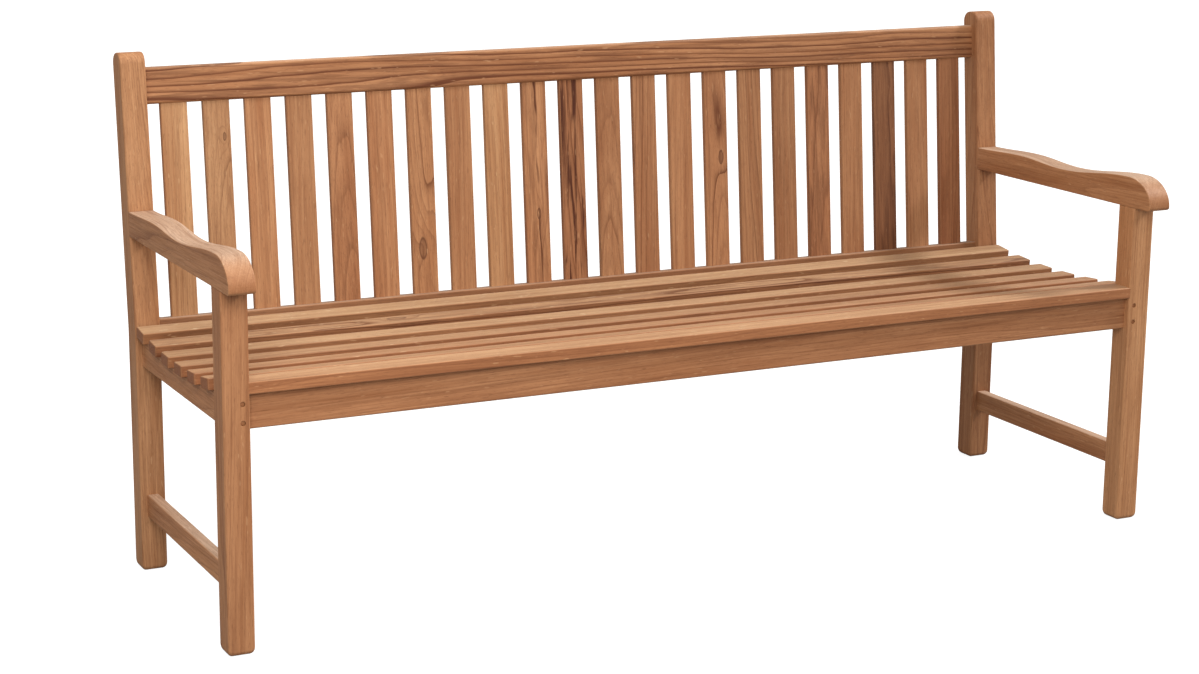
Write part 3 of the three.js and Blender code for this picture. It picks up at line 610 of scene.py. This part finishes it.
arm_looks = {
    "left": {"tone": 0.02, "red": -0.1, "rings": 0.7, "sawn": 1.3},
    "right": {"tone": 0.08, "red": -0.1, "rings": 0.35, "sawn": 1.1},
}
for hand, side in SIDES:
    ends = sorted((side * LEG_INSIDE, side * BENCH_END))
    stack = layers(armrest_outline, ends[0], ends[1], ARM_EASE)
    board(f"{hand}_armrest", "teak_frame", standing_along_x(stack), grain=(0, 1, 0), face=(0, 0, 1),
          **arm_looks[hand])


# --- Stretchers, side rails and seat bearers ---------------------------------------------------
# Boards from front to back, tenoned at both ends. The stretchers tie the legs near the ground, the
# side rails carry the slat ends, and the bearers carry the slats between; their tops are dished.

RAIL_THICK = 0.021
RAIL_EASE = 0.0025
DISH_RADIUS = 1.430
DISH_LOW = 0.4295
DISH_MIDDLE = FRONT + 0.268
SEAT_SLAT_WIDTH = 0.040
SEAT_SLAT_THICK = 0.020
HIDDEN = 0.0015                                # how far a board's end runs on into its neighbour
BEARER_HIDDEN = 0.008                          # and a bearer's rear end into the lower back rail
JOINT_CORNER = 0.0004                          # the corners of an end that a joint hides
BEARING_RADIUS = math.hypot(DISH_RADIUS + SEAT_SLAT_THICK, SEAT_SLAT_WIDTH / 2)


def dished_outline(start, finish, bottom):
    """The outline of a board whose top is an arc, hollow upwards, drawn from front to back. The flat
    bottom and the arc are moved together by the rounding of their eased edges."""
    def outline(depth, further=0.0):
        inset = rounding(depth, RAIL_EASE) + further
        y = np.linspace(start, finish, 40)
        arc = DISH_LOW + DISH_RADIUS - np.sqrt(BEARING_RADIUS**2 - (y - DISH_MIDDLE)**2)
        lower = np.stack([y, np.full(40, bottom + inset)], axis=1)
        upper = np.stack([y, arc - inset], axis=1)[::-1]
        return np.concatenate([lower, upper])
    return outline


def plain_outline(start, finish, bottom, top, ease):
    """A rectangle whose two ends are hidden in joints, with its long sides eased."""
    return cornered(
        corners=[(start, bottom), (finish, bottom), (finish, top), (start, top)],
        radii=[JOINT_CORNER] * 4, eases=[ease, 0, ease, 0],
    )


leg_back = FRONT + LEG - HIDDEN
leg_ahead = REAR_FRONT + HIDDEN
stretcher_low, stretcher_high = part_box("left_stretcher")
rail_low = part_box("left_side_rail")[0]
bearer_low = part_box("left_seat_bearer")[0]
BEARER_FROM_MIDDLE = 0.285
apron_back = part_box("front_apron")[1].y
rail_looks = {"left": (0.3, -0.1), "right": (0.16, 0.0)}
for hand, side in SIDES:
    middle = side * (BENCH_END - LEG / 2)
    inner, outer = middle - RAIL_THICK / 2, middle + RAIL_THICK / 2
    tone, red = rail_looks[hand]
    outline = plain_outline(leg_back, leg_ahead, stretcher_low.z, stretcher_high.z, RAIL_EASE)
    board(f"{hand}_stretcher", "teak_frame", standing_along_x(layers(outline, inner, outer, RAIL_EASE)),
          grain=(0, 1, 0), face=(1, 0, 0), tone=tone, red=red)
    outline = dished_outline(leg_back, leg_ahead, rail_low.z)
    board(f"{hand}_side_rail", "teak_frame", standing_along_x(layers(outline, inner, outer, RAIL_EASE)),
          grain=(0, 1, 0), face=(1, 0, 0), tone=tone, red=red)
    middle = side * BEARER_FROM_MIDDLE
    outline = dished_outline(apron_back, REAR_FRONT + BEARER_HIDDEN, bearer_low.z)
    board(f"{hand}_seat_bearer", "teak_frame",
          standing_along_x(layers(outline, middle - RAIL_THICK / 2, middle + RAIL_THICK / 2, RAIL_EASE)),
          grain=(0, 1, 0), face=(1, 0, 0), tone=-0.2)


# --- Front apron -----------------------------------------------------------------------------
# A deep board on edge below the front of the seat, tenoned and pegged into both front legs and set
# a little back from their faces.

APRON_EASE = 0.003


def standing_along_y(stack):
    """Outlines drawn as (x, z), stacked along y."""
    return np.array([np.column_stack([p[:, 0], np.full(len(p), across), p[:, 1]]) for across, p in stack])


apron_low, apron_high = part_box("front_apron")
outline = plain_outline(-LEG_INSIDE - HIDDEN, LEG_INSIDE + HIDDEN, apron_low.z, apron_high.z, APRON_EASE)
board("front_apron", "teak_frame",
      standing_along_y(layers(outline, apron_low.y, apron_high.y, APRON_EASE)),
      grain=(1, 0, 0), tone=-0.05, red=0.3, rings=0.45, pith=0.07, sawn=1.2)


# --- Seat slats ------------------------------------------------------------------------------
# Seven planed slats along the bench. The front one lies between the front legs, flush with them;
# the rest run out over the side rails and follow the dish, screwed up from below.

SEAT_SLATS = 6
SLAT_EASE = 0.0022
SLAT_END_EASE = 0.0018
SLAT_CORNER = 0.003
FIT = 0.0003                                   # the clearance in front of the rear legs


def lying_along_z(stack):
    """Outlines drawn as (x, y), stacked along z."""
    return np.array([np.column_stack([p, np.full(len(p), across)]) for across, p in stack])


front_slat_low, front_slat_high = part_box("front_seat_slat")
outline = plain_outline(
    -LEG_INSIDE - HIDDEN, LEG_INSIDE + HIDDEN, front_slat_low.y, front_slat_high.y, SLAT_EASE,
)
board("front_seat_slat", "teak_seat",
      lying_along_z(layers(outline, front_slat_low.z, front_slat_high.z, SLAT_EASE)),
      grain=(1, 0, 0), face=(0, 0, 1), tone=0.22, red=0.15, rings=0.5, sawn=0.9)

slat_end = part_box("seat_slat_1")[1].x
slat_outline = cornered(
    corners=[
        (-slat_end, -SEAT_SLAT_WIDTH / 2), (slat_end, -SEAT_SLAT_WIDTH / 2),
        (slat_end, SEAT_SLAT_WIDTH / 2), (-slat_end, SEAT_SLAT_WIDTH / 2),
    ],
    radii=[SLAT_CORNER] * 4,
    eases=[SLAT_EASE, SLAT_END_EASE, SLAT_EASE, SLAT_END_EASE],
)
slat_grid = lying_along_z(layers(slat_outline, -SEAT_SLAT_THICK, 0.0, SLAT_EASE))
front_slat_width = front_slat_high.y - front_slat_low.y
seat_turn = SEAT_SLAT_THICK * (REAR_FRONT - DISH_MIDDLE) / DISH_RADIUS
seat_run = REAR_FRONT - FRONT - seat_turn - FIT - front_slat_width
seat_gap = (seat_run - SEAT_SLATS * SEAT_SLAT_WIDTH) / SEAT_SLATS
# from the front of the seat to the back
seat_looks = [
    {"tone": 0.02, "red": 0.25, "rings": 0.4, "sawn": 0.9},
    {"tone": 0.0, "red": 0.40, "rings": 0.4, "sawn": 1.1},
    {"tone": -0.06, "red": 0.20, "rings": 0.5, "heart": 0.15, "sawn": 0.6},
    {"tone": 0.06, "red": -0.15, "rings": 0.5, "heart": 0.1, "sawn": 0.8},
    {"tone": -0.04, "red": 0.1, "rings": 1.6, "gap": 0.006, "heart": 0.35, "sawn": 0.1, "arch": 0.014,
     "pith": 0.03, "knot": (-0.45, -0.004, 1.0)},
    {"tone": 0.08, "red": -0.30, "rings": 0.5, "sawn": 1.2},
]
for index, look in enumerate(seat_looks):
    y = FRONT + front_slat_width + (index + 1) * seat_gap + (index + 0.5) * SEAT_SLAT_WIDTH
    tilt = math.asin((y - DISH_MIDDLE) / DISH_RADIUS)
    z = DISH_LOW + DISH_RADIUS - DISH_RADIUS * math.cos(tilt)
    turned = slat_grid @ np.array(Matrix.Rotation(tilt, 3, "X")).T + np.array([0, y, z])
    board(f"seat_slat_{index + 1}", "teak_seat", turned, grain=(1, 0, 0), face=(0, 0, 1), **look)


# --- Back rails ------------------------------------------------------------------------------
# Two boards between the rear legs, tenoned and pegged from behind, and leaning with them. The lower
# one stands on edge behind the seat, and the top one has softly rounded edges.

TOP_RAIL_HEIGHT = 0.064
TOP_RAIL_DROP = 0.027                          # below the tops of the legs, along them
LOWER_RAIL_HEIGHT = 0.058
LOWER_RAIL_RISE = 0.018                        # its top edge, above the legs' bend, along them
# front and rear of each rail behind the legs' front face, and its lower and upper edge
TOP_RAIL = {
    "back": (0.017, 0.039),
    "up": (RISE - TOP_RAIL_DROP - TOP_RAIL_HEIGHT, RISE - TOP_RAIL_DROP),
    "ease": 0.0055,
}
LOWER_RAIL = {
    "back": (0.011, 0.036),
    "up": (LOWER_RAIL_RISE - LOWER_RAIL_HEIGHT, LOWER_RAIL_RISE),
    "ease": 0.003,
}


def back_rail(node, rail, **look):
    outline = plain_outline(-LEG_INSIDE - HIDDEN, LEG_INSIDE + HIDDEN, *rail["up"], rail["ease"])
    flat = standing_along_y(layers(outline, *rail["back"], rail["ease"]))
    return board(node, "teak_frame", leaned(flat), grain=(1, 0, 0), **look)


back_rail("top_back_rail", TOP_RAIL, tone=0.06, red=0.05, rings=2.6, gap=0.010, pith=0.08, sawn=1.2,
          heart=0.4)
# the lower rail's dark tone is painted shade: its face lies in the shadow behind the rearmost seat slat
back_rail("lower_back_rail", LOWER_RAIL, tone=-0.4, red=0.3)


# --- Back slats ------------------------------------------------------------------------------
# Twenty-two thin upright slats, each sawn from a different part of the tree, so that no two match.
# They are set into mortises in the two back rails, with even gaps.

BACK_SLAT_WIDTH = 0.048
BACK_SLAT = (0.021, 0.033)                     # its front and rear, behind the legs' front face
BACK_SLAT_EASE = 0.002
SLAT_IN_TOP_RAIL = 0.006                       # how far a slat's upper end runs on into the top rail
# from left to right; a knot's place is (up from the slat's middle, left of it)
# the tones run darker towards the right, partly painted shade for the light falling off across the back
back_looks = [
    {"tone": 0.26, "red": -0.85, "rings": 0.3, "sawn": 1.4},
    {"tone": -0.08, "red": -0.5, "rings": 0.6, "sawn": 0.1, "arch": 0.05, "pith": 0.04,
     "knot": (0.12, 0.012, 0.45)},
    {"tone": 0.14, "red": -0.20, "rings": 0.35, "sawn": 1.0},
    {"tone": -0.09, "red": -0.2, "rings": 0.12, "sawn": 1.4},
    {"tone": -0.08, "red": 0.15, "rings": 0.9, "sawn": 0.1, "arch": 0.06, "pith": 0.035, "gap": 0.006},
    {"tone": 0.06, "red": 0.0, "rings": 0.35, "sawn": 1.2},
    {"tone": 0.16, "red": -0.3, "rings": 1.0, "sawn": 0.2, "arch": -0.05, "pith": 0.04, "gap": 0.006,
     "knot": (-0.105, -0.004, 1.1)},
    {"tone": -0.06, "red": -0.1, "rings": 0.1, "sawn": 1.4},
    {"tone": 0.28, "red": -0.85, "rings": 0.3, "sawn": 0.9},
    {"tone": 0.10, "red": 0.0, "rings": 0.6, "sawn": 0.7, "heart": 0.3, "vein": 1.0,
     "knot": (-0.06, 0.002, 0.6)},
    {"tone": -0.26, "red": 0.45, "rings": 0.9, "sawn": 0.5, "heart": 1.0, "gap": 0.006},
    {"tone": -0.16, "red": 0.05, "rings": 0.6, "sawn": 0.1, "arch": 0.06, "pith": 0.03, "gap": 0.0065},
    {"tone": -0.17, "red": 0.15, "rings": 0.9, "sawn": 1.45, "gap": 0.006},
    {"tone": -0.04, "red": 0.0, "rings": 0.15, "sawn": 1.2},
    {"tone": -0.08, "red": 0.2, "rings": 1.1, "sawn": 0.15, "arch": 0.05, "pith": 0.035, "gap": 0.006,
     "knot": (0.02, 0.009, 0.7)},
    {"tone": -0.14, "red": -0.1, "rings": 0.9, "sawn": 0.9, "gap": 0.005},
    {"tone": -0.28, "red": 0.05, "rings": 0.25, "sawn": 1.1},
    {"tone": -0.2, "red": 0.5, "rings": 1.2, "sawn": 0.3, "arch": 0.045, "pith": 0.04, "heart": 0.35,
     "gap": 0.006},
    {"tone": -0.1, "red": 0.05, "rings": 0.3, "sawn": 1.2},
    {"tone": -0.74, "red": 0.75, "rings": 0.8, "sawn": 0.3, "heart": 0.45, "gap": 0.006},
    {"tone": -0.15, "red": 0.05, "rings": 0.4, "sawn": 0.5},
    {"tone": -0.38, "red": 0.7, "rings": 0.7, "sawn": 1.2, "gap": 0.005},
]
between_legs = 2 * LEG_INSIDE
slat_gap = (between_legs - len(back_looks) * BACK_SLAT_WIDTH) / (len(back_looks) + 1)
slat_foot = LOWER_RAIL["up"][1] - HIDDEN
slat_head = TOP_RAIL["up"][0] + SLAT_IN_TOP_RAIL
for index, look in enumerate(back_looks):
    left = -LEG_INSIDE + slat_gap + index * (BACK_SLAT_WIDTH + slat_gap)
    right = left + BACK_SLAT_WIDTH
    outline = cornered(
        corners=[(left, slat_foot), (right, slat_foot), (right, slat_head), (left, slat_head)],
        radii=[JOINT_CORNER] * 4,
        eases=[0, BACK_SLAT_EASE, 0, BACK_SLAT_EASE],
    )
    flat = standing_along_y(layers(outline, *BACK_SLAT, BACK_SLAT_EASE))
    board(f"back_slat_{index + 1:02d}", "teak_back", leaned(flat),
          grain=(0, math.sin(LEAN), math.cos(LEAN)), **look)


# --- Pegs ------------------------------------------------------------------------------------
# Turned teak pegs driven through each tenon of the apron and the back rails. Their ends lie a little
# below the face of the leg, with a dark shadow line round them.

PEG_RADIUS = 0.0039
PEG_RECESS = 0.0012


def peg_end(centre, outwards):
    """A round end: circles whose radius shrinks to the middle, on a slightly domed profile. Each row
    of the profile is the part of the peg's radius, and the height."""
    profile = np.array([(1.0, -0.004), (1.0, -0.0006), (0.9, -0.0002), (0.6, 0.0), (0.15, 0.0001)])
    lifted = np.array(centre) + (profile[:, 1] - PEG_RECESS)[:, None, None] * np.array(outwards)
    return lifted + profile[:, :1, None] * circle(PEG_RADIUS, outwards)


for hand, _ in SIDES:
    for joint, middle, outwards in (("apron", (0, FRONT, 0), (0, -1, 0)),
                                    ("lower_rail", leaned((0, LEG, 0)), BEHIND),
                                    ("top_rail", leaned((0, LEG, 0)), BEHIND)):
        for row, place in zip(("upper", "lower"), pegs_on(hand, joint, middle, outwards)):
            board(f"{hand}_{joint}_peg_{row}", "teak_peg", peg_end(place, outwards), grain=outwards,
                  face=(1, 0, 0))


# --- Studio ----------------------------------------------------------------------------------
# A wide pale floor under even white light, with a soft key lamp from the right, a very soft one
# overhead, a fill in front on the left, and the camera there too, a little above the top rail.

FLOOR_REACH = 60.0
floor_mesh = bpy.data.meshes.new("floor")
floor_mesh.from_pydata(
    [(-FLOOR_REACH, -FLOOR_REACH, 0), (FLOOR_REACH, -FLOOR_REACH, 0),
     (FLOOR_REACH, FLOOR_REACH, 0), (-FLOOR_REACH, FLOOR_REACH, 0)], [], [(0, 1, 2, 3)],
)
floor = bpy.data.objects.new("floor", floor_mesh)
bpy.context.scene.collection.objects.link(floor)
paper = bpy.data.materials.new("white paper")
paper.use_nodes = True
paper_shader = paper.node_tree.nodes["Principled BSDF"]
paper_shader.inputs["Base Color"].default_value = (0.27, 0.27, 0.27, 1)
paper_shader.inputs["Roughness"].default_value = 0.9
paper_shader.inputs["Emission Color"].default_value = (1, 1, 1, 1)
seen_by = paper.node_tree.nodes.new("ShaderNodeLightPath")
glow = paper.node_tree.nodes.new("ShaderNodeMath")
glow.operation = "MULTIPLY"
glow.inputs[1].default_value = 0.87            # lifts the paper to white for the camera alone
paper.node_tree.links.new(seen_by.outputs["Is Camera Ray"], glow.inputs[0])
paper.node_tree.links.new(glow.outputs[0], paper_shader.inputs["Emission Strength"])
floor_mesh.materials.append(paper)

world = bpy.data.worlds.new("studio")
bpy.context.scene.world = world
world.use_nodes = True
world.node_tree.nodes["Background"].inputs["Color"].default_value = (1, 1, 1, 1)
world.node_tree.nodes["Background"].inputs["Strength"].default_value = 0.44


def aimed(direction):
    """The turn that points a lamp's own -z along a direction."""
    return Vector(direction).to_track_quat("-Z", "Y").to_euler()


def sun(name, energy, spread, direction):
    """A far lamp, as soft as its spread in degrees, that shines along a direction."""
    lamp = bpy.data.objects.new(name, bpy.data.lights.new(name, "SUN"))
    lamp.data.energy = energy
    lamp.data.angle = math.radians(spread)
    lamp.rotation_euler = aimed(direction)
    bpy.context.scene.collection.objects.link(lamp)


sun("key", energy=2.9, spread=11, direction=(-1.25, 0.30, -1.0))
sun("overhead", energy=1.2, spread=90, direction=(0.1, 0.2, -1.0))

fill = bpy.data.objects.new("fill", bpy.data.lights.new("fill", "AREA"))
fill.data.shape = "SQUARE"
fill.data.size = 1.6
fill.data.energy = 62
fill.location = (-1.6, -2.4, 2.0)
fill.rotation_euler = aimed((1.4, 2.5, -1.5))
bpy.context.scene.collection.objects.link(fill)

# where the camera stands: from the middle of the front legs' faces, on the ground
CAMERA_PLACE = Vector((-2.0543, -3.5657, 1.3992))
CAMERA_YAW = math.radians(25.019)              # from square on, turned to the right
CAMERA_PITCH = math.radians(-12.730)
CAMERA_ROLL = math.radians(0.132)
camera = bpy.data.objects.new("camera", bpy.data.cameras.new("camera"))
ahead = Vector((
    math.sin(CAMERA_YAW) * math.cos(CAMERA_PITCH),
    math.cos(CAMERA_YAW) * math.cos(CAMERA_PITCH),
    math.sin(CAMERA_PITCH),
))
level = Vector((math.cos(CAMERA_YAW), -math.sin(CAMERA_YAW), 0))
above = level.cross(ahead)
right = level * math.cos(CAMERA_ROLL) + above * math.sin(CAMERA_ROLL)
up = above * math.cos(CAMERA_ROLL) - level * math.sin(CAMERA_ROLL)
camera.matrix_world = Matrix((
    (right.x, up.x, -ahead.x, CAMERA_PLACE.x),
    (right.y, up.y, -ahead.y, CAMERA_PLACE.y + FRONT),
    (right.z, up.z, -ahead.z, CAMERA_PLACE.z),
    (0, 0, 0, 1),
))
camera.data.sensor_width = 36
camera.data.lens = 74.1
camera.data.shift_x = 0.0668
camera.data.shift_y = -0.0166
bpy.context.scene.collection.objects.link(camera)
bpy.context.scene.camera = camera
bpy.context.scene.view_settings.view_transform = "Standard"
